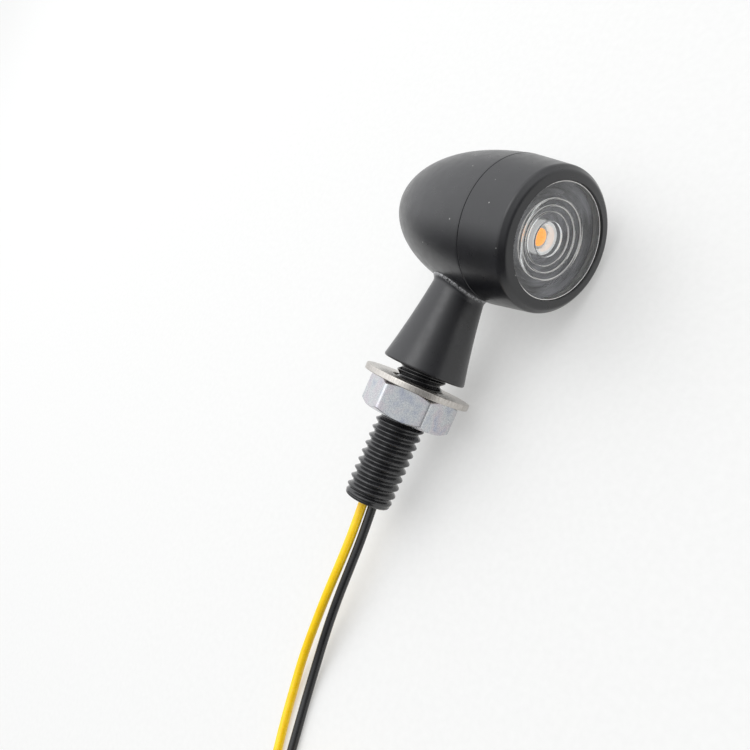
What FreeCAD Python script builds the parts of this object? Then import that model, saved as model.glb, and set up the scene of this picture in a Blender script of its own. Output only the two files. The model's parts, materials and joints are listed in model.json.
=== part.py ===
"""A bullet-shaped turn signal lamp, lying on its side as it would on a bench.

Everything is drawn in the lamp's own axes first: X is the lens axis, facing +X, Z is the
stud's axis, with the head at +Z, and the origin is where the stalk's foot meets the stud.
set_down() then lays each solid on its side, so that it rests on the widest part of the head
and on the rim of the mounting washer. All lengths are in millimetres.
"""
import FreeCAD, Part
import math
import os
from FreeCAD import Vector

# ---- driving dimensions --------------------------------------------------------------
HEAD_Z = 24.865          # lens axis above the stalk's foot
HEAD_R = 11.36           # widest radius of the head
SEAM_X = 6.55            # where the bezel meets the rear shell
TAIL_LENGTH = 26.5       # from the seam back to the tail's tip
TAIL_FULLNESS = 2.35     # exponent of the ogive along its length
TAIL_ROUNDING = 1.7      # over 1 rounds the tip
SHELL_WALL = 2.3
FRONT_X = 15.35          # front edge of the lens opening
FRONT_R = 10.62          # bezel radius just behind its front corner
OPENING_R = 8.5
EDGE = 0.15              # small chamfer each side of the seam

SPIGOT_R = 9.62          # bezel's threaded spigot
SPIGOT_LENGTH = 3.0
THREAD_GAP = 0.10        # running clearance of the bezel's thread
BEZEL_BORE_R = 8.95
LENS_SEAT_R = 9.20
LENS_SEAT_X = 14.35
RUNNING_GAP = 0.08       # lens to bezel
FACE_GAP = 0.02          # between faces of pieces that move on one another
BOARD_X = 8.3            # back of the circuit board
BOARD_T = 1.0
BOARD_R = 8.6
COLLIMATOR_LENGTH = 1.5
JOINT_T = 0.7            # height of the solder joints

STUD_R = 3.97            # major radius of the 5/16-18 thread
THREAD_PITCH = 1.411
THREAD_ROOT_R = 3.35
STUD_LENGTH = 22.6       # below the stalk's foot
STUD_SOCKET = 7.0        # depth of stud inside the stalk
BORE_R = 2.0             # wire bore through the stud

FOOT_R = 6.85            # stalk radius at its foot
STALK_TAPER = 0.235      # radius lost per mm of height
STALK_HOLLOW = 0.0037    # how much the taper eases off higher up
STALK_BORE_R = 2.2
SPIGOT_STEM_R = 3.0      # hollow stem that passes into the head
STEM_TOP = -5.3          # stem's end, from the lens axis
BOSS_TOP = -8.3          # flat seat inside the shell, from the lens axis
SPOT_R = 5.05            # spot face for the lockwasher and the locknut

WASHER_R = 8.75
WASHER_HOLE_R = 4.35
WASHER_T = 1.0
WASHER_TOP = -2.07       # room for a bracket 2 mm thick above it
NUT_AF = 13.0
NUT_T = 5.07
NUT_BORE_R = 4.03
NUT_CORNER_DEG = 42.2

WIRE_R = 0.75
WIRE_OFFSET = 0.57       # each lead off the middle of the two, both ways
WIRE_MIDDLE = 0.25       # middle of the two off the stud's axis, both ways
SEAL_DEPTH = 0.63        # seal's face inside the stud's end
SEAL_T = 0.8

COIL_CENTRE = (18.0, -74.0)
COIL_PITCH = 1.54        # one turn to the next
COIL_OUT_R = 10.56       # centre of the outermost turn
COIL_LIFT = 0.3          # coil lies on its tie
COIL_ENTRY_DEG = 208.0
COIL_ANGLE_DEG = 1130.0
TIP_R = 0.45
TIP_LENGTH = 4.0

# Leads outside the lamp, from the seal to the coil and from the coil to the bare ends:
# x, y from the foot of the stalk, with y along the floor, and height above the floor.
YELLOW_ROUTE = [(0.25, -27.6, 6.6), (0.1, -33.4, 5.7), (-0.6, -39.3, 4.45), (-1.2, -45.2, 3.05),
                (-1.45, -51.0, 1.8), (-0.75, -56.4, 0.95), (0.75, -61.4, 0.78), (2.75, -66.4, 0.78),
                (5.0, -71.5, 0.85)]
BLACK_ROUTE = [(1.5, -27.3, 5.5), (1.65, -33.2, 4.75), (1.45, -39.2, 3.7), (1.5, -45.0, 2.55),
               (1.85, -50.6, 1.4), (2.85, -56.0, 0.85), (4.45, -61.0, 0.78), (6.15, -66.2, 0.78),
               (7.9, -71.6, 0.85)]
YELLOW_END = [(20.9, -85.8, 2.3), (25.0, -86.9, 1.1), (29.0, -87.0, 0.78)]
BLACK_END = [(22.6, -84.2, 2.5), (27.6, -83.6, 1.2), (31.5, -80.6, 0.8), (33.4, -76.2, 0.78),
             (33.4, -71.6, 0.78)]

X, Y, Z = Vector(1, 0, 0), Vector(0, 1, 0), Vector(0, 0, 1)
O = Vector(0, 0, 0)

# ---- how it lies ---------------------------------------------------------------------
WASHER_FOOT = -WASHER_TOP + WASHER_T
REACH = HEAD_Z + WASHER_FOOT
TILT = math.asin(HEAD_R / math.hypot(REACH, WASHER_R)) - math.atan2(WASHER_R, REACH)
FOOT_HEIGHT = HEAD_R - HEAD_Z * math.sin(TILT)


def lay_down():
    """Rotation from the lamp's axes to the bench: X stays, Z becomes Y, then the head end rises."""
    on_its_side = FreeCAD.Rotation(X, -90.0)
    return FreeCAD.Rotation(X, math.degrees(TILT)).multiply(on_its_side)


TURN = lay_down()


def bench(point):
    """A point in the lamp's axes, on the bench, from the foot of the stalk, height above the floor."""
    p = TURN.multVec(Vector(*point))
    return Vector(p.x, p.y, p.z + FOOT_HEIGHT)


# ---- drawing helpers -----------------------------------------------------------------
def line(a, b):
    return Part.LineSegment(a, b).toShape()


def turned(points, axis=X, curve=()):
    """Solid of revolution of the closed outline through (along, radius) points. curve holds
    further points of a smooth line that runs on from the last of them back to the first."""
    place = (lambda p: Vector(p[0], 0, p[1])) if axis == X else (lambda p: Vector(p[1], 0, p[0]))
    ring = [place(p) for p in points]
    edges = [line(a, b) for a, b in zip(ring, ring[1:])]
    if curve:
        spline = Part.BSplineCurve()
        spline.interpolate([ring[-1], *map(place, curve), ring[0]])
        edges.append(spline.toShape())
    else:
        edges.append(line(ring[-1], ring[0]))
    face = Part.Face(Part.Wire(edges))
    return face.revolve(O, axis, 360)


def ring(x0, x1, r0, r1, axis=X):
    """Plain ring between two stations and two radii."""
    return turned([(x0, r0), (x1, r0), (x1, r1), (x0, r1)], axis)


def disc(x0, x1, r, axis=X):
    return Part.makeCylinder(r, x1 - x0, axis * x0, axis)


def on_head(shape):
    """Moves a shape that was drawn round the X axis up to the lens axis."""
    return shape.translated(Vector(0, 0, HEAD_Z))


def box(x0, x1, y0, y1, z0, z1):
    return Part.makeBox(x1 - x0, y1 - y0, z1 - z0, Vector(x0, y0, z0))


def hexagon(across_flats, z0, z1, corner_deg):
    corner_r = across_flats / math.sqrt(3)
    corners = []
    for k in range(7):
        a = math.radians(corner_deg + 60 * k)
        corners.append(Vector(corner_r * math.cos(a), corner_r * math.sin(a), z0))
    return Part.Face(Part.makePolygon(corners)).extrude(Z * (z1 - z0))


def rounded_path(points):
    """Straight runs joined by tangent arcs, each as large as its two runs allow. Returns the
    wire and the arcs' radii."""
    pts = [Vector(*p) for p in points]
    edges, radii, start = [], [], pts[0]
    for a, b, c in zip(pts, pts[1:], pts[2:]):
        back, on = (a - b), (c - b)
        run = min(back.Length, on.Length)
        back.normalize()
        on.normalize()
        half_turn = (math.pi - back.getAngle(on)) / 2
        reach = 0.45 * run
        radius = reach / math.tan(half_turn)
        into, out = b + back * reach, b + on * reach
        middle = back + on
        middle.normalize()
        crown = b + middle * (radius / math.cos(half_turn) - radius)
        edges.append(line(start, into))
        edges.append(Part.Arc(into, crown, out).toShape())
        radii.append(radius)
        start = out
    edges.append(line(start, pts[-1]))
    return Part.Wire(edges), radii


def tube(points, name):
    """Solid lead along the rounded path. Prints its length and radii, and how its volume
    compares with its section times its length."""
    path, radii = rounded_path(points)
    pts = [Vector(*p) for p in points]
    section = Part.Wire(Part.makeCircle(WIRE_R, pts[0], pts[1] - pts[0]))
    solid = path.makePipeShell([section], True, False)
    expected = math.pi * WIRE_R ** 2 * path.Length
    print(f"{name}: {path.Length:.1f} mm, volume ratio {solid.Volume / expected:.4f}, "
          f"radii {[round(r, 1) for r in radii]}")
    return solid


# ---- head ----------------------------------------------------------------------------
def ogive(x):
    """Outer radius of the rear shell at station x."""
    u = min(1.0, max(0.0, (SEAM_X - x) / TAIL_LENGTH))
    return HEAD_R * (1 - u ** TAIL_FULLNESS) ** (1 / TAIL_ROUNDING)


def shell_outside():
    """Solid bullet from the seam to the tail's tip."""
    tip = SEAM_X - TAIL_LENGTH
    steps = 16
    curve = []
    for k in range(1, steps):
        x = tip + TAIL_LENGTH * (1 - math.cos(math.pi / 2 * k / steps))
        curve.append((x, ogive(x)))
    front = SEAM_X - EDGE
    return turned([(front, ogive(front)), (SEAM_X, HEAD_R - EDGE), (SEAM_X, 0), (tip, 0)], X, curve)


def make_rear_shell():
    """Bullet with a threaded mouth, a ledge for the board carrier, a tapering cavity, and a
    spot-faced seat where the stalk's stem comes in."""
    ledge, mouth_end, cavity_end = 2.2, SEAM_X - SPIGOT_LENGTH - 0.35, -14.0
    behind_wall = SHELL_WALL + 0.5
    curve = []
    for k in range(1, 6):
        x = cavity_end + (ledge - cavity_end) * k / 6
        curve.append((x, ogive(x) - behind_wall))
    mouth = disc(mouth_end, SEAM_X + 1, SPIGOT_R + THREAD_GAP)
    seat = disc(ledge, mouth_end, HEAD_R - SHELL_WALL - 0.04)
    cavity = turned([(ledge, ogive(ledge) - behind_wall), (ledge, 0), (cavity_end, 0),
                     (cavity_end, ogive(cavity_end) - behind_wall)], X, curve)
    boss = Part.makeCylinder(SPOT_R + 0.3, 6.0, Vector(0, 0, BOSS_TOP - 6.0), Z)
    spot_face = Part.makeCylinder(SPOT_R, 4.5, Vector(0, 0, BOSS_TOP), Z)
    stem_hole = Part.makeCylinder(SPIGOT_STEM_R + 0.02, 8.0, Vector(0, 0, BOSS_TOP - 7.0), Z)
    hollow = cavity.cut(boss)
    body = shell_outside().cut(mouth).cut(seat).cut(hollow).cut(spot_face).cut(stem_hole)
    return on_head(body)


def make_front_bezel():
    """Bezel ring: tapering side, rounded front corner, band that slopes in to the opening,
    seat for the lens, and the spigot that screws into the shell."""
    back = SEAM_X + FACE_GAP
    corner_start, corner_end = (14.05, FRONT_R), (15.02, 9.85)
    spigot_end = SEAM_X - SPIGOT_LENGTH
    outline = [corner_end, (FRONT_X, OPENING_R + EDGE), (FRONT_X - EDGE, OPENING_R),
               (LENS_SEAT_X, OPENING_R), (LENS_SEAT_X, LENS_SEAT_R), (12.5, LENS_SEAT_R),
               (12.5, BEZEL_BORE_R), (spigot_end, BEZEL_BORE_R), (spigot_end, SPIGOT_R),
               (back, SPIGOT_R), (back, HEAD_R - EDGE), (back + EDGE, HEAD_R - 0.015), corner_start]
    corner = [(14.45, 10.5), (14.8, 10.24)]
    return on_head(turned(outline, X, corner))


def make_lens():
    """Clear stepped lens: flange behind the bezel's lip, plug in the opening, rings that get
    thicker towards the middle, and a dimple over the lamp's chip."""
    flange_r, back = LENS_SEAT_R - RUNNING_GAP, 13.3
    front_of_flange = LENS_SEAT_X - FACE_GAP
    outline = [(11.7, 0), (11.7, 2.6), (11.2, 2.6), (11.2, 3.9), (11.8, 3.9), (11.8, 4.8), (12.4, 4.8),
               (12.4, 5.8), (back, 5.8), (back, flange_r), (front_of_flange, flange_r),
               (front_of_flange, OPENING_R - RUNNING_GAP), (14.95, OPENING_R - RUNNING_GAP), (14.95, 0)]
    return on_head(turned(outline))


def make_lens_gasket():
    return on_head(ring(12.7, 13.3, 8.5, LENS_SEAT_R - RUNNING_GAP))


def make_shell_gasket():
    """Flat sealing ring between the carrier's flange and the end of the bezel's spigot."""
    return on_head(ring(3.2, 3.53, 8.98, 9.6))


def make_board_carrier():
    """Tube that holds the board out in the bezel, with a flange on the shell's ledge and a
    notch that clears the stalk's locknut and the leads."""
    tube_part = turned([(2.2, 7.7), (2.2, 8.85), (3.2, 8.85), (3.2, 8.6), (BOARD_X, 8.6), (BOARD_X, 7.7)])
    notch = box(1.0, 5.2, -5.0, 5.0, -12.0, -5.0)
    return on_head(tube_part.cut(notch))


def make_circuit_board():
    return on_head(disc(BOARD_X, BOARD_X + BOARD_T, BOARD_R))


def make_reflector():
    back = BOARD_X + BOARD_T
    return on_head(turned([(back, 2.65), (back, 3.4), (12.4, 8.75), (12.65, 8.75), (12.65, 8.4),
                           (back + 0.45, 2.65)]))


def make_collimator_ring():
    back = BOARD_X + BOARD_T
    return on_head(ring(back, back + COLLIMATOR_LENGTH, 1.9, 2.45))


def make_led_package():
    return on_head(box(9.3, 9.8, -1.32, 1.32, -1.32, 1.32))


def make_led_die():
    """Shallow amber dome on the package."""
    return on_head(turned([(10.2, 0), (9.8, 0), (9.8, 1.3)], X, [(10.03, 1.05), (10.16, 0.6)]))


def make_ballast_resistors():
    """Three chip resistors across the back of the board."""
    chips = [box(BOARD_X - 0.6, BOARD_X, -1.6, 1.6, z - 0.8, z + 0.8) for z in (5.2, 3.0, 0.8)]
    return on_head(Part.makeCompound(chips))


def make_protection_diode():
    return on_head(box(BOARD_X - 1.1, BOARD_X, 3.4, 5.8, -0.2, 4.0))


def make_solder_joints():
    cones = []
    for y, z in ((-2.2, -1.5), (2.2, -2.8)):
        cones.append(Part.makeCone(0.8, 1.15, JOINT_T, Vector(BOARD_X - JOINT_T, y, z), X))
    return on_head(Part.makeCompound(cones))


# ---- stalk and stud ------------------------------------------------------------------
def stalk_radius(z):
    return FOOT_R - STALK_TAPER * z + STALK_HOLLOW * z * z


def make_stalk():
    """Slim flared stalk with a socket for the stud, cut to the head's curve, and a hollow stem
    that goes through the shell's wall."""
    top, rounding = HEAD_Z - 9.0, 0.45
    curve = []
    for k in range(1, 8):
        z = top - (top - rounding) * k / 8
        curve.append((z, stalk_radius(z)))
    flare = turned([(rounding, stalk_radius(rounding)), (rounding * 0.3, FOOT_R - rounding * 0.3),
                    (0, FOOT_R - rounding), (0, 0), (top, 0), (top, stalk_radius(top))], Z, curve)
    head = on_head(shell_outside())
    bezel_side = on_head(disc(SEAM_X - 0.5, FRONT_X, HEAD_R + 0.12))
    stem = Part.makeCylinder(SPIGOT_STEM_R, HEAD_Z + STEM_TOP - 10.0, Vector(0, 0, 10.0), Z)
    socket = Part.makeCylinder(STUD_R, STUD_SOCKET, O, Z)
    bore = Part.makeCylinder(STALK_BORE_R, HEAD_Z, Vector(0, 0, STUD_SOCKET), Z)
    return flare.cut(head).cut(bezel_side).fuse(stem).cut(socket).cut(bore).removeSplitter()


def make_stalk_lockwasher():
    return on_head(ring(BOSS_TOP, BOSS_TOP + 0.5, SPIGOT_STEM_R + 0.1, 4.9, Z))


def make_stalk_locknut():
    z0 = HEAD_Z + BOSS_TOP + 0.5
    hole = Part.makeCylinder(SPIGOT_STEM_R + 0.02, 6.0, Vector(0, 0, z0 - 1), Z)
    return hexagon(8.0, z0, z0 + 2.2, 0.0).cut(hole)


def make_threaded_stud():
    """Hollow stud. One V groove for each turn of the thread, from below the foot to the end."""
    crest, lead = 0.2, 0.55
    outline = [(STUD_SOCKET, BORE_R), (STUD_SOCKET, STUD_R), (-0.7, STUD_R)]
    depth = STUD_R - THREAD_ROOT_R
    half = (THREAD_PITCH - crest) / 2
    grooves = int((STUD_LENGTH - 0.7 - lead) / THREAD_PITCH)
    for k in range(grooves):
        z = -0.7 - k * THREAD_PITCH
        outline += [(z - half + 0.1, THREAD_ROOT_R), (z - half - 0.1, THREAD_ROOT_R),
                    (z - 2 * half, STUD_R), (z - THREAD_PITCH, STUD_R)]
    outline += [(-STUD_LENGTH + lead, STUD_R - 0.01), (-STUD_LENGTH, STUD_R - depth * 0.7),
                (-STUD_LENGTH, BORE_R)]
    return turned(outline, Z)


def make_wire_seal():
    face = -STUD_LENGTH + SEAL_DEPTH
    return disc(face, face + SEAL_T, BORE_R, Z)


def make_washer():
    lip = 0.12
    z0, z1 = WASHER_TOP - WASHER_T, WASHER_TOP
    return turned([(z0, WASHER_HOLE_R), (z1, WASHER_HOLE_R), (z1, WASHER_R - lip), (z1 - lip, WASHER_R),
                   (z0 + lip, WASHER_R), (z0, WASHER_R - lip)], Z)


def make_nut():
    """Plain hexagon nut with its corners chamfered at both ends and a countersunk bore."""
    z1 = WASHER_TOP - WASHER_T - FACE_GAP
    z0 = z1 - NUT_T
    corner_r, face_r = NUT_AF / math.sqrt(3), NUT_AF / 2 * 0.97
    drop = (corner_r - face_r) * math.tan(math.radians(30))
    barrel = turned([(z0, 0), (z0, face_r), (z0 + drop, corner_r + 0.01), (z1 - drop, corner_r + 0.01),
                     (z1, face_r), (z1, 0)], Z)
    sink, past = 0.35, 1.0
    wide = NUT_BORE_R + sink + past
    bore = turned([(z0 - past, 0), (z0 - past, wide), (z0 + sink, NUT_BORE_R), (z1 - sink, NUT_BORE_R),
                   (z1 + past, wide), (z1 + past, 0)], Z)
    return hexagon(NUT_AF, z0, z1, NUT_CORNER_DEG).common(barrel).cut(bore)


# ---- leads ---------------------------------------------------------------------------
def inner_lead(side):
    """Lead inside the lamp, from its solder joint round into the stalk and down to the seal.
    side is -1 for yellow and +1 for black."""
    off = WIRE_MIDDLE + side * WIRE_OFFSET
    seal = -STUD_LENGTH + SEAL_DEPTH + SEAL_T
    drop = 1.5 if side < 0 else 2.8
    corner = 2.2 if side < 0 else 3.4
    elbow = 3.6 if side < 0 else 4.6
    return [(BOARD_X - JOINT_T, 2.2 * side, HEAD_Z - drop), (corner, 1.25 * side, HEAD_Z - drop),
            (off, off, HEAD_Z - elbow), (off, off, seal)]


def coil_point(angle_deg, inner):
    """Centre of a turn at an angle from the coil's entry. Both leads wind side by side: out,
    in, up onto the second layer, and out again. inner is 0 for yellow and 1 for black."""
    def step(start):
        t = min(1.0, max(0.0, (angle_deg - start) / 100.0))
        return t * t * (3 - 2 * t)
    r = COIL_OUT_R - inner * COIL_PITCH - 2 * COIL_PITCH * (step(260) - step(780))
    h = COIL_LIFT + WIRE_R + COIL_PITCH * step(520)
    a = math.radians(COIL_ENTRY_DEG + angle_deg)
    return (COIL_CENTRE[0] + r * math.cos(a), COIL_CENTRE[1] + r * math.sin(a), h)


def coil_length(inner):
    pts = [Vector(*coil_point(a, inner)) for a in range(0, int(COIL_ANGLE_DEG) + 1, 5)]
    return sum((b - a).Length for a, b in zip(pts, pts[1:]))


def lead_exit(side):
    off = WIRE_MIDDLE + side * WIRE_OFFSET
    return tuple(bench((off, off, -STUD_LENGTH + SEAL_DEPTH)))


def wire_coil_solid():
    inner_r = COIL_OUT_R - 3 * COIL_PITCH - WIRE_R
    outer_r = COIL_OUT_R + WIRE_R
    top = COIL_LIFT + 2 * WIRE_R + COIL_PITCH
    at = Vector(*COIL_CENTRE, 0)
    return ring(COIL_LIFT, top, inner_r, outer_r, Z).translated(at)


def wire_tie_solid():
    """Flat band round the coil at one place, with its small head on top."""
    band, width = COIL_LIFT, 2.4
    inner_r = COIL_OUT_R - 3 * COIL_PITCH - WIRE_R
    outer_r = COIL_OUT_R + WIRE_R
    top = COIL_LIFT + 2 * WIRE_R + COIL_PITCH
    outside = box(inner_r - band - 0.2, outer_r + band + 0.1, -width / 2, width / 2, 0, top + band)
    inside = box(inner_r - 0.2, outer_r + 0.1, -width, width, band, top)
    head = box(7.0, 9.6, -1.7, 1.7, top + band, top + band + 1.1)
    tie = outside.cut(inside).fuse(head).removeSplitter()
    tie.rotate(O, Z, 60)
    return tie.translated(Vector(*COIL_CENTRE, 0))


def make_leads():
    """The two leads outside the lamp, already on the bench: runs, shared coil, ends and tips."""
    coil = wire_coil_solid()
    solids = {"wire_coil": coil, "wire_tie": wire_tie_solid()}
    seal = set_down(make_wire_seal())
    rows = (("yellow", -1, 0, YELLOW_ROUTE, YELLOW_END), ("black", 1, 1, BLACK_ROUTE, BLACK_END))
    for colour, side, inner, route, end in rows:
        run = [lead_exit(side), *route, coil_point(0, inner)]
        solids[f"{colour}_wire"] = tube(run, f"{colour}_wire").cut(coil).cut(seal)
        tail = [coil_point(COIL_ANGLE_DEG, inner), *end]
        solids[f"{colour}_wire_end"] = tube(tail, f"{colour}_wire_end").cut(coil)
        last, before = Vector(*end[-1]), Vector(*end[-2])
        heading = last - before
        heading.normalize()
        solids[f"{colour}_tip"] = Part.makeCylinder(TIP_R, TIP_LENGTH, last, heading)
        whole = rounded_path(run)[0].Length + rounded_path(tail)[0].Length
        print(f"{colour} lead: {whole + coil_length(inner) + TIP_LENGTH:.0f} mm in all")
    return solids


# ---- assembly ------------------------------------------------------------------------
LAMP_NODES = {
    "rear_shell": make_rear_shell, "front_bezel": make_front_bezel, "lens": make_lens,
    "lens_gasket": make_lens_gasket, "shell_gasket": make_shell_gasket,
    "board_carrier": make_board_carrier, "circuit_board": make_circuit_board,
    "reflector": make_reflector, "collimator_ring": make_collimator_ring,
    "led_package": make_led_package, "led_die": make_led_die,
    "ballast_resistors": make_ballast_resistors, "protection_diode": make_protection_diode,
    "solder_joints": make_solder_joints, "stalk": make_stalk,
    "stalk_lockwasher": make_stalk_lockwasher, "stalk_locknut": make_stalk_locknut,
    "threaded_stud": make_threaded_stud, "wire_seal": make_wire_seal,
    "washer": make_washer, "nut": make_nut,
    "yellow_inner_lead": lambda: tube(inner_lead(-1), "yellow_inner_lead").cut(make_solder_joints()),
    "black_inner_lead": lambda: tube(inner_lead(1), "black_inner_lead").cut(make_solder_joints()),
}


def set_down(shape):
    """Lays a solid on its side on the bench, with the foot of the stalk over the origin."""
    laid = shape.copy()
    laid.Placement = FreeCAD.Placement(Vector(0, 0, FOOT_HEIGHT), TURN).multiply(laid.Placement)
    return laid


def main():
    os.makedirs("parts", exist_ok=True)
    lamp = {name: set_down(make()) for name, make in LAMP_NODES.items()}
    span = Part.makeCompound(list(lamp.values())).optimalBoundingBox(False)
    centre = Vector((span.XMin + span.XMax) / 2, (span.YMin + span.YMax) / 2, span.ZMin)
    print(f"tilt {math.degrees(TILT):.4f} deg, foot of the stalk at "
          f"({-centre.x:.4f}, {-centre.y:.4f}, {FOOT_HEIGHT - centre.z:.4f})")
    for name, shape in {**lamp, **make_leads()}.items():
        placed = shape.translated(-centre)
        if not placed.isValid():
            print(f"{name} is not valid")
        placed.exportStep(f"parts/{name}.step")


main()
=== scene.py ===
"""Looks of a small bullet-shaped turn signal lamp that lies on its side on a pale table.

Shapes are worked out in the lamp's own axes, in millimetres: X is the lens axis, Z the
stud's axis with the head at +Z, and the origin is the foot of the stalk. to_row() lays them
down in the row's frame, in metres.
"""
import json
import math

import bmesh
import bpy
import numpy as np
from mathutils import Matrix, Vector


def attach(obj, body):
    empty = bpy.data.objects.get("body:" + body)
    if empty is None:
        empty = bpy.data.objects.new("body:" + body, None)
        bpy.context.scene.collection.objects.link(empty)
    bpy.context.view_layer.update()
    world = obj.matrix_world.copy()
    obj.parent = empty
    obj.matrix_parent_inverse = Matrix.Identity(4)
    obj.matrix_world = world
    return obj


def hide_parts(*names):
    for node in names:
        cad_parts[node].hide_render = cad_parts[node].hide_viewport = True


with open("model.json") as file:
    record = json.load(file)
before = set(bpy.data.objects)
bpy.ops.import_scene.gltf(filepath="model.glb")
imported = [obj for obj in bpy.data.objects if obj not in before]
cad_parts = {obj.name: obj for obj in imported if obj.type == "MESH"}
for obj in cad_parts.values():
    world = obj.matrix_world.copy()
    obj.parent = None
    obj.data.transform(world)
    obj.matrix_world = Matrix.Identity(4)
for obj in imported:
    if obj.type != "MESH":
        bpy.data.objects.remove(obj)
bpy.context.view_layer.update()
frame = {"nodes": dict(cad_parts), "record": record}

MM = 0.001
TAU = 2 * math.pi

# ---- the lamp's sizes, as the frame has them -----------------------------------------
HEAD_Z = 24.865
HEAD_R = 11.36
SEAM_X = 6.55
TAIL_LENGTH = 26.5
TAIL_FULLNESS = 2.35
TAIL_ROUNDING = 1.7
FRONT_X = 15.35
OPENING_R = 8.5
LENS_SEAT_X = 14.35
LENS_SEAT_R = 9.2
LENS_R = 9.12
PLUG_R = 8.42
LENS_FRONT_X = 14.95
LENS_STEPS = ((12.4, 5.8), (11.8, 4.8), (11.2, 3.9))     # x and radius of each step's edge
SPIGOT_R = 9.62
SPIGOT_END = 3.55
BEZEL_BORE_R = 8.95
BOARD_FACE_X = 9.3
FOOT_R = 6.85
STALK_TAPER = 0.235
STALK_HOLLOW = 0.0037
STUD_R = 3.97
THREAD_ROOT_R = 3.35
THREAD_PITCH = 1.411
STUD_LENGTH = 22.6
BORE_R = 2.0
WASHER_R = 8.75
WASHER_HOLE_R = 4.35
WASHER_TOP = -2.07
WASHER_T = 1.0
NUT_AF = 13.0
NUT_TOP = -3.09
NUT_T = 5.07
NUT_BORE_R = 4.03
NUT_CORNER_DEG = 42.2
WIRE_R = 0.75
TIP_LENGTH = 4.0

SHOULDER_MARK = 5.2      # the shoulder mount's point stands this far from the stud's axis
shoulder = next(m for m in frame["record"]["mounts"] if m["name"] == "shoulder")
LENS_WAY = np.array((1.0, 0.0, 0.0))
HEAD_WAY = -np.array(shoulder["axis"], float)
SIDE_WAY = np.cross(HEAD_WAY, LENS_WAY)
FOOT = np.array(shoulder["pos_m"], float) - SHOULDER_MARK * MM * LENS_WAY


def to_row(points):
    """Points in the lamp's axes, in mm, as row points in metres."""
    return FOOT + np.asarray(points, float) * MM @ np.array((LENS_WAY, SIDE_WAY, HEAD_WAY))


# ---- surfaces ------------------------------------------------------------------------
def rounded(outline, radius, steps=7, closed=True):
    """Outline with its corners as arcs. Each corner's arc touches both sides at the same
    distance, its radius is cut down where a side is short, and a point is added a little way
    along each side so that flat faces shade flat. radius is one number, or one per corner."""
    pts = [np.array(p, float) for p in outline]
    count = len(pts)
    radii = [radius] * count if np.isscalar(radius) else list(radius)
    path = []
    for k, p in enumerate(pts):
        if radii[k] <= 0 or (not closed and k in (0, count - 1)):
            path.append(p)
            continue
        back, on = pts[k - 1] - p, pts[(k + 1) % count] - p
        long_back, long_on = np.linalg.norm(back), np.linalg.norm(on)
        back, on = back / long_back, on / long_on
        half = math.acos(max(-1.0, min(1.0, float(back @ on)))) / 2
        reach = min(radii[k] / math.tan(half), 0.42 * long_back, 0.42 * long_on)
        r = reach * math.tan(half)
        middle = back + on
        centre = p + middle / np.linalg.norm(middle) * r / math.sin(half)
        a, b = p + back * reach - centre, p + on * reach - centre
        turn = math.acos(max(-1.0, min(1.0, float(a @ b) / (r * r))))
        path.append(p + back * reach * 1.25)
        for t in np.linspace(0, 1, steps):
            path.append(centre + (a * math.sin((1 - t) * turn) + b * math.sin(t * turn)) / math.sin(turn))
        path.append(p + on * reach * 1.25)
    if closed:
        path.append(path[0])
    return np.array(path)


def finish_mesh(name, verts, faces, uv, look, body, stands_for=()):
    """Mesh object at the origin from arrays, with doubles merged and faces outwards."""
    mesh = bpy.data.meshes.new(name)
    mesh.from_pydata(verts, [], faces)
    layer = mesh.uv_layers.new(name="around_along")
    layer.data.foreach_set("uv", uv.astype(np.float32).ravel())
    work = bmesh.new()
    work.from_mesh(mesh)
    bmesh.ops.remove_doubles(work, verts=work.verts, dist=2e-7)
    bmesh.ops.dissolve_degenerate(work, edges=work.edges, dist=1e-8)
    if work.calc_volume(signed=True) < 0:
        bmesh.ops.reverse_faces(work, faces=work.faces)
    work.to_mesh(mesh)
    work.free()
    mesh.polygons.foreach_set("use_smooth", np.ones(len(mesh.polygons), bool))
    mesh.materials.append(look)
    piece = bpy.data.objects.new(name, mesh)
    bpy.context.scene.collection.objects.link(piece)
    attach(piece, body)
    if stands_for:
        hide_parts(*stands_for)
    return piece


def skin(name, grid, look, body, stands_for=(), reach=1.0):
    """Closed surface from a grid of lamp points: the first index goes round and joins up, the
    second follows a profile, which joins up where its ends differ from a pole. UV is the
    distance round, at radius reach, and along, in mm."""
    n, m = grid.shape[:2]
    i, j = np.meshgrid(np.arange(n), np.arange(m - 1), indexing="ij")
    k = (i + 1) % n
    faces = np.stack((i * m + j, k * m + j, k * m + j + 1, i * m + j + 1), -1).reshape(-1, 4)
    along = np.r_[0, np.cumsum(np.linalg.norm(np.diff(grid[0], axis=0), axis=1))]
    u0, u1 = i / n * TAU * reach, (i + 1) / n * TAU * reach
    v0, v1 = along[j], along[j + 1]
    uv = np.stack((u0, v0, u1, v0, u1, v1, u0, v1), -1).reshape(-1, 2)
    verts = to_row(grid.reshape(-1, 3))
    return finish_mesh(name, verts, faces, uv, look, body, stands_for)


def round_lens_axis(path, sides=160):
    """Profile of (x, radius) carried round the lens axis."""
    a = np.arange(sides)[:, None] * TAU / sides
    x, r = path[:, 0], path[:, 1]
    return np.stack((x + 0 * a, r * np.sin(a), HEAD_Z + r * np.cos(a)), -1)


def round_stud_axis(path, sides=128):
    """Profile of (z, radius) carried round the stud's axis."""
    a = np.arange(sides)[:, None] * TAU / sides
    z, r = path[:, 0], path[:, 1]
    return np.stack((r * np.cos(a), r * np.sin(a), z + 0 * a), -1)


def thread_form(turns):
    """Height of a thread at a place along it, 0 at the root and 1 at the crest: straight
    flanks, with a narrow crest and a root both a little rounded. turns counts whole threads."""
    rise = np.clip(1.12 - np.abs((turns % 1.0) - 0.5) * 2.5, 0, 1)
    return rise * rise * (3 - 2 * rise) * 0.4 + rise * 0.6


# ---- materials -----------------------------------------------------------------------
ACRYLIC_IOR = 1.49


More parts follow.
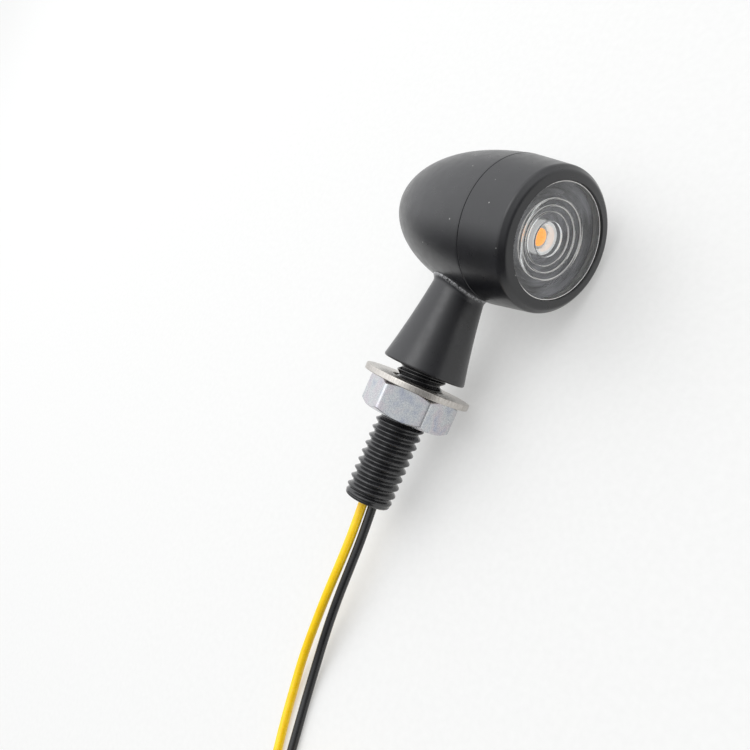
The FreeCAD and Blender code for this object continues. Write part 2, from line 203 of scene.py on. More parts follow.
def new_look(name, **sockets):
    """Material with one Principled shader and the given values on its own sockets."""
    look = bpy.data.materials.new(name)
    look.use_nodes = True
    shader = look.node_tree.nodes["Principled BSDF"]
    for key, value in sockets.items():
        shader.inputs[key.replace("_", " ")].default_value = value
    return look, shader


def node(look, kind, **values):
    """New node, with each value set as the node's own property or else on its socket."""
    made = look.node_tree.nodes.new(kind)
    for key, value in values.items():
        if hasattr(made, key):
            setattr(made, key, value)
        else:
            made.inputs[key.replace("_", " ")].default_value = value
    return made


def join(look, out, into):
    """Link from an output to an input."""
    look.node_tree.links.new(out, into)


def noise(look, scale, detail=3.0, roughness=0.5, source="Object", stretch=None):
    """Noise of a scale in features per metre, on object or UV coordinates."""
    place = node(look, "ShaderNodeTexCoord")
    made = node(look, "ShaderNodeTexNoise", Scale=scale, Detail=detail, Roughness=roughness)
    if stretch:
        mapping = node(look, "ShaderNodeMapping", Scale=stretch)
        join(look, place.outputs[source], mapping.inputs["Vector"])
        join(look, mapping.outputs["Vector"], made.inputs["Vector"])
    else:
        join(look, place.outputs[source], made.inputs["Vector"])
    return made.outputs["Fac"]


def ramp(look, fac, stops):
    """Colour ramp through (position, colour) stops; a number stands for a grey."""
    made = node(look, "ShaderNodeValToRGB")
    steps = made.color_ramp.elements
    while len(steps) < len(stops):
        steps.new(0.5)
    for step, (place, colour) in zip(steps, stops):
        step.position = place
        step.color = (colour, colour, colour, 1) if np.isscalar(colour) else (*colour, 1)
    join(look, fac, made.inputs["Fac"])
    return made.outputs["Color"]


def mixed(look, fac, a, b):
    """Colour a where fac is 0 and b where it is 1. a and b are colours or outputs."""
    made = node(look, "ShaderNodeMix", data_type="RGBA")
    join(look, fac, made.inputs[0])
    for source, into in ((a, made.inputs[6]), (b, made.inputs[7])):
        if isinstance(source, tuple):
            into.default_value = (*source, 1)
        else:
            join(look, source, into)
    return made.outputs[2]


def bumped(look, shader, height, depth_mm, strength=1.0):
    """Relief of a depth in mm from a height between 0 and 1."""
    made = node(look, "ShaderNodeBump", Strength=strength, Distance=depth_mm * MM)
    join(look, height, made.inputs["Height"])
    join(look, made.outputs["Normal"], shader.inputs["Normal"])


def dust(look, cell=560.0):
    """1 on scattered specks of dust, 0 elsewhere: the core of a few of the cells."""
    place = node(look, "ShaderNodeTexCoord")
    cells = node(look, "ShaderNodeTexVoronoi", Scale=cell)
    join(look, place.outputs["Object"], cells.inputs["Vector"])
    core = ramp(look, cells.outputs["Distance"], ((0.0, 1.0), (0.05, 1.0), (0.075, 0.0)))
    picked = ramp(look, cells.outputs["Color"], ((0.0, 0.0), (0.7, 0.0), (0.72, 1.0)))
    both = node(look, "ShaderNodeMath", operation="MULTIPLY")
    join(look, core, both.inputs[0])
    join(look, picked, both.inputs[1])
    return both.outputs[0]


def satin_black(name="satin_black_coat", worn=False):
    """Satin black coat on turned metal: a faint orange peel, slightly uneven sheen, a few
    specks of dust and, where asked, a worn grey edge marked by the wear attribute."""
    look, shader = new_look(name, Roughness=0.4, Specular_IOR_Level=0.72)
    tone = ramp(look, noise(look, 260, 2), ((0.3, (0.004, 0.004, 0.0056)), (0.7, (0.0065, 0.0065, 0.0088))))
    speck = dust(look)
    colour = mixed(look, speck, tone, (0.3, 0.3, 0.29))
    if worn:
        mark = node(look, "ShaderNodeAttribute", attribute_name="wear")
        broken = ramp(look, noise(look, 2600, 4, 0.7), ((0.4, 0.0), (0.55, 1.0)))
        rub = node(look, "ShaderNodeMath", operation="MULTIPLY")
        join(look, mark.outputs["Fac"], rub.inputs[0])
        join(look, broken, rub.inputs[1])
        colour = mixed(look, rub.outputs[0], colour, (0.4, 0.4, 0.405))
    join(look, colour, shader.inputs["Base Color"])
    join(look, ramp(look, noise(look, 700, 3), ((0.3, 0.27), (0.7, 0.35))), shader.inputs["Roughness"])
    bumped(look, shader, noise(look, 6500, 2), 0.012, 0.35)
    return look


def stud_black():
    """Black plated thread, glossier than the coat."""
    look, shader = new_look("stud_black_plate", Specular_IOR_Level=0.6, Coat_Weight=0.4, Coat_Roughness=0.12)
    tone = ramp(look, noise(look, 900, 4, 0.6),
                ((0.3, (0.007, 0.007, 0.008)), (0.75, (0.016, 0.016, 0.018))))
    join(look, tone, shader.inputs["Base Color"])
    join(look, ramp(look, noise(look, 1500, 3), ((0.3, 0.2), (0.7, 0.34))), shader.inputs["Roughness"])
    bumped(look, shader, noise(look, 5200, 3), 0.015, 0.4)
    return look


def zinc_plate():
    """Bright zinc on steel: cool silver with faint blue and rose passivation, and fine
    scratches."""
    look, shader = new_look("zinc_plate", Metallic=1.0, Roughness=0.22)
    tint = ramp(look, noise(look, 330, 3, 0.55),
                ((0.3, (0.52, 0.55, 0.62)), (0.45, (0.68, 0.7, 0.7)),
                 (0.56, (0.69, 0.65, 0.67)), (0.7, (0.54, 0.56, 0.63))))
    grain = ramp(look, noise(look, 5200, 3, 0.7), ((0.42, (0.78, 0.79, 0.84)), (0.56, (1.0, 1.0, 1.0))))
    both = node(look, "ShaderNodeMix", data_type="RGBA", blend_type="MULTIPLY")
    both.inputs[0].default_value = 1.0
    join(look, tint, both.inputs[6])
    join(look, grain, both.inputs[7])
    join(look, both.outputs[2], shader.inputs["Base Color"])
    join(look, ramp(look, noise(look, 2400, 4, 0.6), ((0.3, 0.18), (0.7, 0.34))), shader.inputs["Roughness"])
    bumped(look, shader, noise(look, 4200, 4, 0.6), 0.02, 0.4)
    return look


def washer_metal():
    """Nickel plate, warm grey, with circular brushing on its faces and the rough marks of the
    press round its rim: noise stretched along the way round."""
    look, shader = new_look("washer_metal", Metallic=1.0, Roughness=0.3)
    tone = ramp(look, noise(look, 1.0, 3, 0.6, "UV", (7.0, 0.8, 1.0)),
                ((0.3, (0.42, 0.395, 0.365)), (0.7, (0.66, 0.63, 0.595))))
    join(look, tone, shader.inputs["Base Color"])
    join(look, ramp(look, noise(look, 1.0, 2, 0.5, "UV", (9.0, 1.5, 1.0)), ((0.3, 0.24), (0.7, 0.42))),
         shader.inputs["Roughness"])
    bumped(look, shader, noise(look, 1.0, 3, 0.6, "UV", (10.0, 1.2, 1.0)), 0.02, 0.5)
    return look


def pvc(name, low, high, roughness, painted_glow=0.0):
    """Glossy PVC sleeve with faint draw marks and fingerprints. Any emission, in the light tone, is painted
    light that brightens the sleeve.
    """
    look, shader = new_look(name, Specular_IOR_Level=0.5, Coat_Weight=0.15, Coat_Roughness=0.15,
                            Emission_Color=(*high, 1), Emission_Strength=painted_glow)
    join(look, ramp(look, noise(look, 500, 3), ((0.3, low), (0.7, high))), shader.inputs["Base Color"])
    join(look, ramp(look, noise(look, 1800, 3), ((0.3, roughness - 0.06), (0.7, roughness + 0.08))),
         shader.inputs["Roughness"])
    bumped(look, shader, noise(look, 3000, 2), 0.01, 0.3)
    return look


def plain(name, low, high, roughness, metallic=0.0, scale=900, depth=0.01, painted_glow=0.0):
    """Fine-grained finish between two tones, for small and inner pieces. Any emission it is given is painted
    light on a piece that is no lamp.
    """
    look, shader = new_look(name, Metallic=metallic, Emission_Strength=painted_glow)
    join(look, ramp(look, noise(look, scale, 3), ((0.3, low), (0.7, high))), shader.inputs["Base Color"])
    smooth, dull = max(0.05, roughness - 0.08), roughness + 0.08
    join(look, ramp(look, noise(look, scale * 2, 3), ((0.3, smooth), (0.7, dull))),
         shader.inputs["Roughness"])
    bumped(look, shader, noise(look, scale * 4, 2), depth, 0.3)
    return look


def clear_lens():
    """Clear polished plastic: light passes straight through most of it, and it shines at its
    edges and steps."""
    look, shader = new_look("clear_lens", IOR=ACRYLIC_IOR, Transmission_Weight=1.0,
                            Base_Color=(0.97, 0.98, 0.98, 1))
    join(look, ramp(look, noise(look, 1200, 3), ((0.35, 0.015), (0.7, 0.05))), shader.inputs["Roughness"])
    return look


def silver_optic(name, low, high):
    """Metallised bowl with soft turning streaks round it. Its tones are far darker than bare metal: painted
    shade for the dim surroundings that the bowl mirrors.
    """
    look, shader = new_look(name, Metallic=1.0, Roughness=0.2)
    tone = ramp(look, noise(look, 1.0, 3, 0.5, "UV", (0.16, 1.6, 1.0)), ((0.3, low), (0.7, high)))
    join(look, tone, shader.inputs["Base Color"])
    join(look, ramp(look, noise(look, 1.0, 3, 0.5, "UV", (0.12, 2.2, 1.0)), ((0.3, 0.26), (0.7, 0.38))),
         shader.inputs["Roughness"])
    return look


def frosted_edge_painted_light():
    """Moulded edges of the lens's steps: cloudy, and paler than the glass-clear faces. Their weak emission
    is a painted highlight.
    """
    # the emission here is a painted highlight on the step edges
    look, shader = new_look("frosted_edge_painted_light", IOR=ACRYLIC_IOR, Emission_Color=(1.0, 0.97, 0.94, 1),
                            Emission_Strength=0.2)
    join(look, ramp(look, noise(look, 1500, 3), ((0.3, (0.72, 0.71, 0.69)), (0.7, (0.92, 0.92, 0.9)))),
         shader.inputs["Base Color"])
    join(look, ramp(look, noise(look, 2600, 2), ((0.3, 0.3), (0.7, 0.5))), shader.inputs["Roughness"])
    return look


def amber_phosphor():
    """Amber phosphor over the chip, speckled. Its emission is painted light that brightens the dome behind
    the lens.
    """
    look, shader = new_look("amber_phosphor", Roughness=0.25)
    join(look, ramp(look, noise(look, 2500, 3), ((0.3, (0.85, 0.3, 0.02)), (0.7, (0.98, 0.42, 0.04)))),
         shader.inputs["Base Color"])
    # painted light: amber emission on the phosphor brightens the dome
    shader.inputs["Emission Color"].default_value = (1.0, 0.36, 0.03, 1)
    shader.inputs["Emission Strength"].default_value = 0.8
    return look


LOOKS = {
    "satin_black": satin_black(),
    "worn_black": satin_black("satin_black_worn", True),
    "stud_black": stud_black(),
    "lens_clear": clear_lens(),
    # silver_optic is kept dark as painted shade, for the dim room mirrored in the bowl
    "silver_optic": silver_optic("silver_optic", (0.06, 0.06, 0.07), (0.22, 0.22, 0.236)),
    # bright_optic shines by emission: painted light on the tube round the chip, which is no lamp
    "bright_optic": plain("bright_optic", (0.8, 0.8, 0.79), (0.9, 0.9, 0.89), 0.25, painted_glow=0.35),
    "frosted_edge_painted_light": frosted_edge_painted_light(),
    "amber_phosphor": amber_phosphor(),
    "zinc_plate": zinc_plate(),
    "washer_steel": washer_metal(),
    # yellow_pvc has a weak emission: painted light that brightens the yellow sleeve
    "yellow_pvc": pvc("yellow_pvc", (0.93, 0.56, 0.002), (1.0, 0.66, 0.004), 0.28, 0.08),
    "black_pvc": pvc("black_pvc", (0.006, 0.006, 0.007), (0.012, 0.012, 0.013), 0.25),
    "led_white": plain("led_white", (0.7, 0.69, 0.66), (0.8, 0.79, 0.76), 0.3),
    "board_white": plain("board_white", (0.6, 0.61, 0.6), (0.7, 0.71, 0.7), 0.45),
    "component_black": plain("component_black", (0.015, 0.015, 0.016), (0.03, 0.03, 0.03), 0.6),
    "solder": plain("solder", (0.6, 0.61, 0.62), (0.75, 0.76, 0.77), 0.25, 1.0),
    "carrier_metal": plain("carrier_metal", (0.5, 0.51, 0.52), (0.65, 0.66, 0.67), 0.35, 1.0),
    "gasket_rubber": plain("gasket_silicone", (0.42, 0.42, 0.41), (0.55, 0.55, 0.54), 0.45),
    "tinned_copper": plain("tinned_copper", (0.55, 0.53, 0.5), (0.75, 0.74, 0.72), 0.3, 1.0),
    "tie_nylon": plain("tie_nylon", (0.72, 0.72, 0.68), (0.82, 0.82, 0.79), 0.4),
    "seal_resin": plain("seal_resin", (0.01, 0.01, 0.01), (0.02, 0.02, 0.02), 0.35),
}


# ---- head ----------------------------------------------------------------------------
def ogive(x):
    """Outer radius of the shell: full at the seam, and falling by a power of the distance
    back, with the tip rounded by a root."""
    u = np.clip((SEAM_X - x) / TAIL_LENGTH, 0, 1)
    return HEAD_R * (1 - u ** TAIL_FULLNESS) ** (1 / TAIL_ROUNDING)


def rear_shell():
    """Ogive profile, closed at the seam by a small round and a plain mouth."""
    edge, mouth_r, floor_x, floor_r = 0.13, SPIGOT_R + 0.1, 3.2, 9.0
    t = np.linspace(0, 1, 90)
    back = SEAM_X - edge - (TAIL_LENGTH - edge) * np.sin(t * math.pi / 2)
    outer = np.stack((back, ogive(back)), -1)[::-1]
    outer[0, 1] = 0.0
    arc = [(SEAM_X - edge + edge * math.sin(a), HEAD_R - edge + edge * math.cos(a))
           for a in np.linspace(0, math.pi / 2, 6)]
    depth = np.linspace(0, 3.3, 60)
    mouth = np.stack((SEAM_X - 0.1 - depth, mouth_r - 0.02 + 0 * depth), -1)
    rest = [(SEAM_X, HEAD_R - 2 * edge), (SEAM_X, mouth_r + 0.1), *mouth, (floor_x, floor_r), (floor_x, 0.0)]
    path = np.array([*outer, *arc, *rest])
    return skin("rear_shell_coat", round_lens_axis(path, 192), LOOKS["satin_black"], "lamp",
                ("rear_shell",), HEAD_R)


def front_bezel():
    """Closed profile: tapering side, soft front corner, band that slopes in, lip, lens seat,
    bore and plain spigot."""
    seam, seat_back = SEAM_X + 0.02, 12.5
    outline = [(seam, SPIGOT_R), (seam, HEAD_R - 0.01), (14.2, 10.62), (15.12, 9.8),
               (FRONT_X, OPENING_R), (LENS_SEAT_X, OPENING_R), (LENS_SEAT_X, LENS_SEAT_R),
               (seat_back, LENS_SEAT_R), (seat_back, BEZEL_BORE_R), (SPIGOT_END, BEZEL_BORE_R),
               (SPIGOT_END, SPIGOT_R)]
    path = rounded(outline, [0.05, 0.14, 0.85, 0.9, 0.12, 0.05, 0.05, 0.05, 0.05, 0.1, 0.1], 9)
    return skin("bezel_coat", round_lens_axis(path, 192), LOOKS["satin_black"], "bezel",
                ("front_bezel",), HEAD_R)


def lens():
    """Stepped clear disc. Its back gets thicker towards the middle in three rings, each with
    a small round at its edge, and has a dimple over the chip."""
    (x1, r1), (x2, r2), (x3, r3) = LENS_STEPS
    flange_x, back_x, dimple_x, dimple_r = LENS_SEAT_X - 0.02, 13.3, 11.7, 2.6
    outline = [(LENS_FRONT_X, 0), (LENS_FRONT_X, PLUG_R), (flange_x, PLUG_R), (flange_x, LENS_R),
               (back_x, LENS_R), (back_x, r1), (x1, r1), (x1, r2), (x2, r2), (x2, r3),
               (x3, r3), (x3, dimple_r), (dimple_x, dimple_r), (dimple_x, 0)]
    radii = [0, 0.18, 0.03, 0.08, 0.08, 0.05, 0.12, 0.05, 0.12, 0.05, 0.12, 0.08, 0.05, 0]
    path = rounded(outline, radii, 6, closed=False)
    return skin("clear_lens", round_lens_axis(path, 160), LOOKS["lens_clear"], "lens_set",
                ("lens",), PLUG_R)


def reflector():
    """Thin bowl: its inner face rises to the rim by a power of the distance from its foot."""
    foot_r, rim_r, rim_out_r = 2.65, 8.45, 8.8
    r = np.linspace(foot_r, rim_r, 40)
    inner = np.stack((9.6 + 3.02 * ((r - foot_r) / (rim_r - foot_r)) ** 1.7, r), -1)[::-1]
    path = np.array([*inner, (BOARD_FACE_X, foot_r), (BOARD_FACE_X, 3.4), (12.4, rim_out_r),
                     (12.65, rim_out_r), tuple(inner[0])])
    return skin("reflector_bowl", round_lens_axis(path, 128), LOOKS["silver_optic"], "lamp",
                ("reflector",), PLUG_R)


def collimator_ring():
    """Short bright tube round the chip; its emission is painted light, since the tube is no lamp."""
    bore_r, out_r, end_x = 1.9, 2.45, BOARD_FACE_X + 1.5
    path = rounded([(BOARD_FACE_X, bore_r), (end_x, bore_r), (end_x, out_r), (BOARD_FACE_X, out_r)], 0.12, 6)
    return skin("collimator_tube", round_lens_axis(path, 96), LOOKS["bright_optic"], "lamp",
                ("collimator_ring",), out_r)


def lens_edges():
    """Cloudy line round each of the lens's steps and round its front edge: a thin round ring, with an
    emission that paints a highlight on it.
    """
    inset = 0.02
    steps = [(name, x + inset, r - inset, thick) for name, thick, (x, r)
             in zip(("wide", "middle", "small"), (0.1, 0.1, 0.05), LENS_STEPS)]
    for name, x, r, thick in (("front", LENS_FRONT_X - 0.05, PLUG_R - 0.05, 0.06), *steps):
        a = np.linspace(0, TAU, 13)
        path = np.stack((x + thick * np.cos(a), r + thick * np.sin(a)), -1)
        path[-1] = path[0]
        skin(f"lens_edge_{name}", round_lens_axis(path, 160), LOOKS["frosted_edge_painted_light"], "lens_set",
             (), r)


def led_die():
    """Shallow dome: height falls as the square of the radius."""
    base_x, height, dome_r = BOARD_FACE_X + 0.5, 0.4, 1.3
    r = np.linspace(0, dome_r, 14)
    top = np.stack((base_x + height * (1 - (r / dome_r) ** 2), r), -1)
    path = np.array([*top, (base_x, dome_r - 0.05), (base_x, 0)])
    return skin("amber_dome", round_lens_axis(path, 48), LOOKS["amber_phosphor"], "lamp",
                ("led_die",), dome_r)


# ---- stalk, stud and hardware --------------------------------------------------------
def stalk():
    """Radius falls with height, and eases off. Near the head it grows again in a small
    fillet, by the square of how near the head's skin is. Its foot has a quarter-round edge."""
    sides, rows, fillet, edge, top = 160, 90, 1.1, 0.42, HEAD_Z - 9.2
    a = np.arange(sides)[:, None] * TAU / sides
    z = np.r_[0.0, 0.02, 0.06, 0.13, 0.23, 0.36, np.linspace(0.5, top, rows)]
    r = FOOT_R - STALK_TAPER * z + STALK_HOLLOW * z * z
    low = np.clip(edge - z, 0, None)
    r = r - edge + np.sqrt(np.clip(edge ** 2 - low ** 2, 0, None))
    x, y = r * np.cos(a), r * np.sin(a)
    skin_r = np.where(x < SEAM_X, ogive(x), HEAD_R)
    skin_z = HEAD_Z - np.sqrt(np.clip(skin_r ** 2 - y ** 2, 1, None))
    near = np.clip(1 - (skin_z - z) / fillet, 0, 1)
    wide = r + 0.55 * near ** 2
    path_top = np.stack((wide * np.cos(a), wide * np.sin(a), z + 0 * a), -1)
    socket_r = STUD_R + 0.02
    foot = round_stud_axis(np.array([(0.0, socket_r), (0.0, 5.4)]), sides)
    cap = round_stud_axis(np.array([(top, 3.0), (top, socket_r), (0.0, socket_r)]), sides)
    grid = np.concatenate((foot, path_top, cap), 1)
    return skin("stalk_coat", grid, LOOKS["worn_black"], "lamp", ("stalk",), FOOT_R)


def mark_wear(piece):
    """wear is 1 on a line where the stalk meets the shell, and fades out within 0.5 mm."""
    co = np.zeros(len(piece.data.vertices) * 3)
    piece.data.vertices.foreach_get("co", co)
    lamp = (co.reshape(-1, 3) - FOOT) @ np.array((LENS_WAY, SIDE_WAY, HEAD_WAY)).T / MM
    r = np.where(lamp[:, 0] < SEAM_X, ogive(lamp[:, 0]), HEAD_R)
    gap = np.abs(np.hypot(lamp[:, 1], lamp[:, 2] - HEAD_Z) - r)
    wear = np.clip(1.4 - gap / 0.35, 0, 1)
    layer = piece.data.attributes.new("wear", "FLOAT", "POINT")
    layer.data.foreach_set("value", wear.astype(np.float32))


def threaded_stud():
    """Right-hand thread: the radius at a place depends on how many pitches it is along, less
    its share of a turn round. It runs out under the foot and in a plain collar at the end,
    whose edge is round."""
    sides, edge = 96, 0.45
    a = np.arange(sides)[:, None] * TAU / sides
    z = np.linspace(-0.0, -STUD_LENGTH, 380)
    turns = z / THREAD_PITCH - a / TAU
    depth = STUD_R - THREAD_ROOT_R
    end = STUD_LENGTH + z
    run_out = np.clip((-z - 0.1) / 0.5, 0, 1) * np.clip((end - 0.7) / 0.6, 0, 1)
    collar = np.clip(1 - (end - 0.55) / 0.6, 0, 1) * 0.22
    r = STUD_R - collar - depth * run_out * (1 - thread_form(turns))
    low = np.clip(edge - end, 0, None)
    r = r - edge + np.sqrt(np.clip(edge ** 2 - low ** 2, 0, None))
    thread = np.stack((r * np.cos(a), r * np.sin(a), z + 0 * a), -1)
    inside = rounded([(-STUD_LENGTH, 2.9), (-STUD_LENGTH, BORE_R), (0.0, BORE_R), (0.0, 3.0)],
                     [0, 0.2, 0, 0], 5, False)
    grid = np.concatenate((thread, round_stud_axis(inside, sides), thread[:, :1]), 1)
    return skin("stud_thread", grid, LOOKS["stud_black"], "lamp", ("threaded_stud",), STUD_R)


def washer():
    """Flat ring with small rounds at its edges, the largest at the top of the rim."""
    z0, z1 = WASHER_TOP - WASHER_T, WASHER_TOP
    outline = [(z0, WASHER_HOLE_R), (z1, WASHER_HOLE_R), (z1, WASHER_R), (z0, WASHER_R)]
    path = rounded(outline, [0.1, 0.1, 0.16, 0.12], 6)
    return skin("washer_ring", round_stud_axis(path, 160), LOOKS["washer_steel"], "washer",
                ("washer",), WASHER_R)


def nut():
    """Hexagon by the power mean of its three pairs of flats, which rounds the corners, cut at
    both ends by a 30 degree cone through a soft minimum. The bore follows a thread."""
    sides = 360
    a = (np.arange(sides) * TAU / sides)[:, None]
    corner = math.radians(NUT_CORNER_DEG)
    flats = sum(np.abs(np.cos(a - corner - math.radians(30 + 60 * k))) ** 70 for k in range(3)) ** (1 / 70)
    hex_r = NUT_AF / 2 / flats
    z1, z0 = NUT_TOP, NUT_TOP - NUT_T
    half = (z1 - z0) / 2
    s = np.linspace(-1, 1, 61)
    z = (z0 + z1) / 2 + half * np.sign(s) * (1 - (1 - np.abs(s)) ** 1.8)
    from_end = np.minimum(z - z0, z1 - z)
    cone = NUT_AF / 2 + from_end / math.tan(math.radians(30))
    soft, sink, mouth_r, face_r = 0.05, 0.45, 4.6, 5.95
    outer = -soft * np.logaddexp(-hex_r / soft, -cone / soft)
    side = np.stack((outer * np.cos(a), outer * np.sin(a), z + 0 * a), -1)
    lower, upper = (round_stud_axis(rounded(outline, [0, 0.1, 0], 4, False), sides) for outline in
                    ([(z0 + sink, NUT_BORE_R), (z0, mouth_r), (z0, face_r)],
                     [(z1, face_r), (z1, mouth_r), (z1 - sink, NUT_BORE_R)]))
    bore_z = np.linspace(z1 - sink, z0 + sink, 50)
    fade = np.clip(np.minimum(z1 - sink - bore_z, bore_z - z0 - sink) / 0.4, 0, 1)
    bore_r = NUT_BORE_R + 0.35 * fade * thread_form(bore_z / THREAD_PITCH - a / TAU)
    bore = np.stack((bore_r * np.cos(a), bore_r * np.sin(a), bore_z + 0 * a), -1)
    grid = np.concatenate((lower, side, upper, bore), 1)
    return skin("nut_body", grid, LOOKS["zinc_plate"], "nut", ("nut",), NUT_AF / 2)


# ---- leads ---------------------------------------------------------------------------
COIL_CENTRE = (18.0, -74.0)
COIL_PITCH = 1.54
COIL_OUT_R = 10.56
COIL_LIFT = 0.3
COIL_ENTRY_DEG = 208.0
COIL_ANGLE_DEG = 1130.0
COIL_STEP_DEG = 20.0
YELLOW_ROUTE = [(0.25, -27.6, 6.6), (0.1, -33.4, 5.7), (-0.6, -39.3, 4.45), (-1.2, -45.2, 3.05),
                (-1.45, -51.0, 1.8), (-0.75, -56.4, 0.95), (0.75, -61.4, 0.78), (2.75, -66.4, 0.78),
                (5.0, -71.5, 0.85)]
BLACK_ROUTE = [(1.5, -27.3, 5.5), (1.65, -33.2, 4.75), (1.45, -39.2, 3.7), (1.5, -45.0, 2.55),
               (1.85, -50.6, 1.4), (2.85, -56.0, 0.85), (4.45, -61.0, 0.78), (6.15, -66.2, 0.78),
               (7.9, -71.6, 0.85)]
YELLOW_END = [(20.9, -85.8, 2.3), (25.0, -86.9, 1.1), (29.0, -87.0, 0.78)]
BLACK_END = [(22.6, -84.2, 2.5), (27.6, -83.6, 1.2), (31.5, -80.6, 0.8), (33.4, -76.2, 0.78),
             (33.4, -71.6, 0.78)]
SEAL_FACE = -21.97
WIRE_OFFSET = 0.57
WIRE_MIDDLE = 0.25


def coil_point(angle_deg, inner):
    """Centre of a turn at an angle from the coil's entry. Both leads wind side by side: out,
    in, up onto the second layer, and out again. The radius is a little over the turn's own,
    because the smooth line runs inside its points."""
    def step(start):
        t = min(1.0, max(0.0, (angle_deg - start) / 100.0))
        return t * t * (3 - 2 * t)
    r = COIL_OUT_R - inner * COIL_PITCH - 2 * COIL_PITCH * (step(260) - step(780))
    r /= math.cos(math.radians(COIL_STEP_DEG / 2))
    h = COIL_LIFT + WIRE_R + COIL_PITCH * step(520)
    a = math.radians(COIL_ENTRY_DEG + angle_deg)
    return (COIL_CENTRE[0] + r * math.cos(a), COIL_CENTRE[1] + r * math.sin(a), h)


def on_bench(point):
    """A point measured from under the foot of the stalk, in mm, as a row point in metres."""
    return Vector((FOOT[0] + point[0] * MM, FOOT[1] + point[1] * MM, point[2] * MM))


def lead(name, side, inner, route, end, colour, stands_for):
    """One insulated lead: a smooth open spline from the seal to its stripped end."""
    off = WIRE_MIDDLE + side * WIRE_OFFSET
    start = Vector(to_row((off, off, SEAL_FACE)))
    turns = [coil_point(a, inner) for a in np.arange(0, COIL_ANGLE_DEG + 1, COIL_STEP_DEG)]
    points = [start, *(on_bench(p) for p in (*route, *turns, *end))]
    curve = bpy.data.curves.new(name, "CURVE")
    curve.dimensions = "3D"
    curve.bevel_depth = WIRE_R * MM
    curve.bevel_resolution = 6
    curve.resolution_u = 10
    curve.use_fill_caps = True
    spline = curve.splines.new("NURBS")
    spline.points.add(len(points) - 1)
    for place, p in zip(spline.points, points):
        place.co = (*p, 1)
    spline.order_u = 3
    spline.use_endpoint_u = True
    piece = bpy.data.objects.new(name, curve)
    bpy.context.scene.collection.objects.link(piece)
    curve.materials.append(LOOKS[colour])
    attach(piece, "lamp")
    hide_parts(*stands_for)
    bare = name.replace("_lead", "_tip")
    tip = stripped_tip(bare + "_strands", points[-1], (points[-1] - points[-2]).normalized(), bare)
    return piece


def stripped_tip(name, start, way, stands_for):
    """Twisted strands: a round whose radius ripples seven times round, and the ripple turns
    along it."""
    sides, rows, radius = 84, 40, 0.42
    a = np.arange(sides)[:, None] * TAU / sides
    s = np.linspace(-0.3, TIP_LENGTH, rows)
    ripple = 1 - 0.13 * np.abs(np.sin(3.5 * (a - s * 1.1))) ** 0.7
    r = radius * ripple * np.clip((TIP_LENGTH - s) / 0.12, 0.0, 1) ** 0.3
    r[:, 0] = 0
    way = np.array(way)
    across = np.cross(way, (0, 0, 1))
    across /= np.linalg.norm(across)
    up = np.cross(across, way)
    ring = np.cos(a)[..., None] * across + np.sin(a)[..., None] * up
    row = np.array(start) + MM * (r[..., None] * ring + s[:, None] * way)
    lamp = (row - FOOT) @ np.array((LENS_WAY, SIDE_WAY, HEAD_WAY)).T / MM
    return skin(name, lamp, LOOKS["tinned_copper"], "lamp", (stands_for,), radius)


def leads():
    """The yellow and the black lead."""
    lead("yellow_lead", -1, 0, YELLOW_ROUTE, YELLOW_END, "yellow_pvc",
         ("yellow_wire", "yellow_wire_end", "wire_coil"))
    lead("black_lead", 1, 1, BLACK_ROUTE, BLACK_END, "black_pvc",
         ("black_wire", "black_wire_end", "wire_coil"))


# ---- stage ---------------------------------------------------------------------------
WINDOW_WAY = (-0.85, 0.42, 1.05)
ABOVE_WAY = (0.12, 0.22, 0.97)
ROOM_WAY = (0.95, -0.05, 0.2)    # the dim room, on the lens's side
SHADE_WAY = (0, -1.0, -0.3)      # the shaded side, past the leads


def world_step(world, value, start, end, before, after):
    """Smooth change from one brightness to another while value goes from start to end."""
    made = node(world, "ShaderNodeMapRange", interpolation_type="SMOOTHSTEP")
    for key, number in (("From Min", start), ("From Max", end), ("To Min", before), ("To Max", after)):
        made.inputs[key].default_value = number
    join(world, value, made.inputs["Value"])
    return made.outputs["Result"]


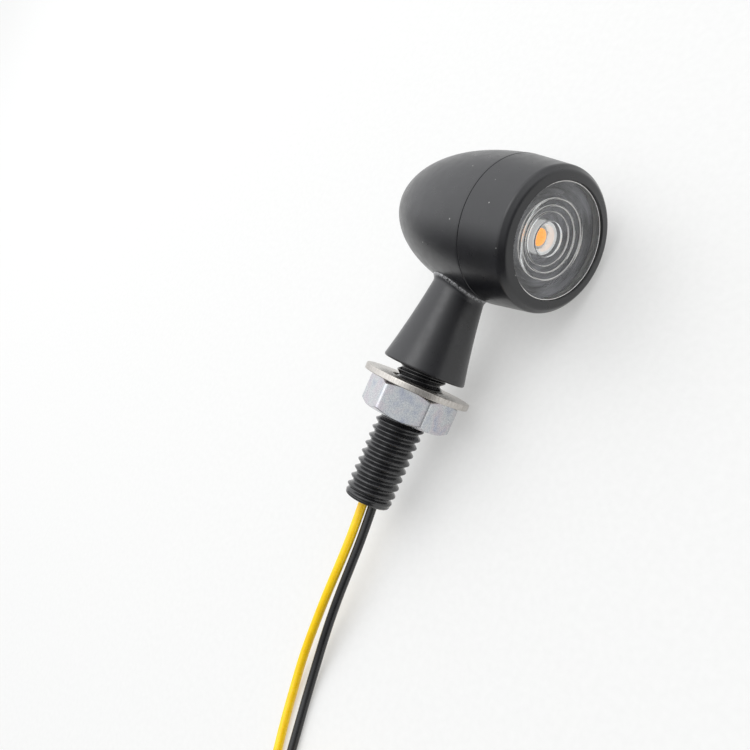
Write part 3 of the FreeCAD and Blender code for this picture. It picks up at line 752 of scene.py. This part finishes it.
def stage():
    """Pale table in a white surround that is brighter overhead, and dim on the room's side and
    past the leads, with a soft window light from the tail's side and a small lamp above."""
    mesh = bpy.data.meshes.new("table")
    mesh.from_pydata([(-2, -2, 0), (2, -2, 0), (2, 2, 0), (-2, 2, 0)], [], [(0, 1, 2, 3)])
    table = bpy.data.objects.new("table", mesh)
    bpy.context.scene.collection.objects.link(table)
    look, shader = new_look("table_white", Roughness=0.75, Emission_Color=(1.0, 1.0, 0.985, 1),
                            Emission_Strength=0.4)
    join(look, ramp(look, noise(look, 900, 3), ((0.3, (0.41, 0.41, 0.406)), (0.7, (0.43, 0.43, 0.426)))),
         shader.inputs["Base Color"])
    bumped(look, shader, noise(look, 2500, 2), 0.02, 0.2)
    mesh.materials.append(look)

    world = bpy.data.worlds.new("surround")
    bpy.context.scene.world = world
    world.use_nodes = True
    sky = world.node_tree.nodes["Background"]
    sky.inputs["Color"].default_value = (0.975, 0.985, 1.0, 1)
    place = node(world, "ShaderNodeTexCoord")
    toward = node(world, "ShaderNodeVectorMath", operation="DOT_PRODUCT")
    toward.inputs[1].default_value = Vector(ROOM_WAY).normalized()
    join(world, place.outputs["Generated"], toward.inputs[0])
    room = world_step(world, toward.outputs["Value"], 0.3, 0.95, 1.0, 0.25)
    aside = node(world, "ShaderNodeVectorMath", operation="DOT_PRODUCT")
    aside.inputs[1].default_value = SHADE_WAY
    join(world, place.outputs["Generated"], aside.inputs[0])
    shade = world_step(world, aside.outputs["Value"], 0.0, 0.55, 1.0, 0.15)
    height = node(world, "ShaderNodeSeparateXYZ")
    join(world, place.outputs["Generated"], height.inputs[0])
    walls = world_step(world, height.outputs["Z"], -0.1, 0.85, 1.0, 1.65)
    both = node(world, "ShaderNodeMath", operation="MULTIPLY")
    join(world, room, both.inputs[0])
    join(world, walls, both.inputs[1])
    all_three = node(world, "ShaderNodeMath", operation="MULTIPLY")
    join(world, both.outputs[0], all_three.inputs[0])
    join(world, shade, all_three.inputs[1])
    join(world, all_three.outputs[0], sky.inputs["Strength"])

    aim = Vector(to_row((0, 0, 10.0)))
    for name, way, distance, size, power in (
            ("window", WINDOW_WAY, 0.55, 0.34, 0.75),
            ("lamp_above", ABOVE_WAY, 0.6, 0.3, 0.35)):
        light = bpy.data.lights.new(name, "AREA")
        light.shape = "SQUARE"
        light.size = size
        light.energy = power
        lamp = bpy.data.objects.new(name, light)
        bpy.context.scene.collection.objects.link(lamp)
        lamp.visible_glossy = name != "window"
        toward = Vector(way).normalized()
        lamp.location = aim + toward * distance
        lamp.rotation_mode = "QUATERNION"
        lamp.rotation_quaternion = (-toward).to_track_quat("-Z", "Y")


def camera():
    """Close camera on the lens's side, 39 degrees above the table, rolled so that the stud
    points down the frame."""
    data = bpy.data.cameras.new("camera")
    made = bpy.data.objects.new("camera", data)
    bpy.context.scene.collection.objects.link(made)
    place = on_bench((97.067, -0.677, 94.995))
    heading, drop, roll = math.radians(-178.044), math.radians(38.662), math.radians(-63.446)
    forward = Vector((math.cos(heading) * math.cos(drop), math.sin(heading) * math.cos(drop),
                      -math.sin(drop)))
    level = forward.cross(Vector((0, 0, 1))).normalized()
    upright = level.cross(forward)
    right = level * math.cos(roll) + upright * math.sin(roll)
    up = right.cross(forward)
    turn = Matrix((right, up, -forward)).transposed()
    made.matrix_world = Matrix.Translation(place) @ turn.to_4x4()
    data.sensor_width = 36.0
    data.lens = 39.54
    data.clip_start = 0.005
    data.clip_end = 10.0
    bpy.context.scene.camera = made
    bpy.context.scene.view_settings.view_transform = "Standard"


# ---- assembly ------------------------------------------------------------------------
def dress_inner_nodes():
    """CAD pieces whose shapes are right keep them and get their finish."""
    wanted = {s["node"]: s["material_slot"] for s in frame["record"]["subparts"]}
    for name, piece in frame["nodes"].items():
        piece.data.materials.clear()
        piece.data.materials.append(LOOKS[wanted[name]])


dress_inner_nodes()
rear_shell()
front_bezel()
lens()
reflector()
collimator_ring()
led_die()
lens_edges()
mark_wear(stalk())
threaded_stud()
washer()
nut()
leads()
stage()
camera()
